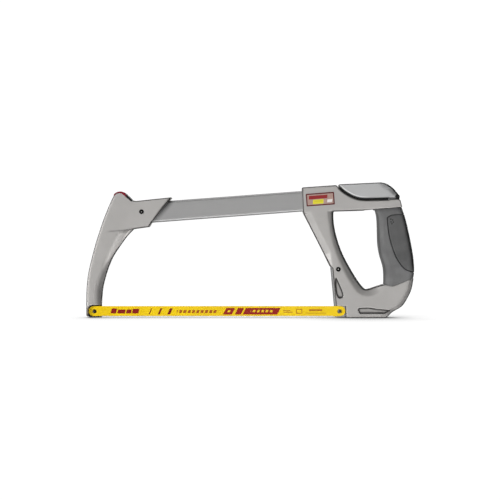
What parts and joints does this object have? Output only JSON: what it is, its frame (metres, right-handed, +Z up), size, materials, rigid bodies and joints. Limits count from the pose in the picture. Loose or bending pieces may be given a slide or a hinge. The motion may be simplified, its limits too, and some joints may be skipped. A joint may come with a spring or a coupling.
{
  "type": "hacksaw",
  "caption": "Hand hacksaw with a straight tubular spine, cast front arm, cast D-handle with rubber grip, and a top lever that tightens the blade through a cam and rocker.",
  "frame": {"origin": "On the floor that the saw stands on, below the middle of its bounding box", "axes": "+X from the nose towards the handle, +Y across the saw away from the side the blade is fitted from, +Z up"},
  "size_m": [0.4004, 0.03, 0.1649],
  "materials": {
    "cast_alloy": "satin",
    "tube_alloy": "satin",
    "lever_alloy": "satin",
    "rocker_alloy": "satin",
    "grip_rubber": "matte",
    "palm_rubber": "matte",
    "black_rubber": "matte",
    "black_plastic": "matte",
    "red_rubber": "matte",
    "black_steel": "satin",
    "bright_steel": "brushed",
    "blade_paint": "gloss",
    "label": "gloss"
  },
  "bodies": {
    "frame": {"front_arm": "cast_alloy", "frame_tube": "tube_alloy", "handle_casting": "cast_alloy", "front_tube_pin": "black_steel", "rear_tube_pin": "bright_steel", "nose_pad": "red_rubber", "front_blade_seat": "black_plastic", "seat_screw": "bright_steel", "front_blade_pin": "bright_steel", "grip_sleeve": "grip_rubber", "palm_pad": "palm_rubber", "side_label": "label", "lever_pad": "black_rubber", "lever_pin": "bright_steel", "rocker_pin": "black_steel"},
    "lever": {"tension_lever": "lever_alloy", "lever_cam": "bright_steel", "cam_rivets": "bright_steel"},
    "rod": {"push_rod": "bright_steel", "rod_tip": "black_steel"},
    "rear_holder": {"rocker": "rocker_alloy", "rear_blade_pin": "bright_steel"},
    "saw_blade": {"blade": "blade_paint"}
  },
  "joints": [
    {"name": "lever_hinge", "type": "hinge", "parent": "frame", "child": "lever", "pos_m": [0.1792, 0, 0.1479], "axis": [0, 1, 0], "range_deg": [0, 80]},
    {"name": "rod_slide", "type": "slide", "parent": "frame", "child": "rod", "axis": [0.9973, 0, 0.0741], "range_m": [0, 0.00191]},
    {"name": "rocker_hinge", "type": "hinge", "parent": "frame", "child": "rear_holder", "pos_m": [0.1071, 0, 0.059], "axis": [0, 1, 0], "range_deg": [0, 1.27]},
    {"name": "blade_lift_off", "type": "slide", "parent": "frame", "child": "saw_blade", "axis": [0, -1, 0], "range_m": [0, 0.03]}
  ],
  "couplings": [
    {"joint": "rod_slide", "follows": "lever_hinge", "m_per_rad": 0.0013565},
    {"joint": "rocker_hinge", "follows": "lever_hinge", "ratio": 0.015763}
  ]
}
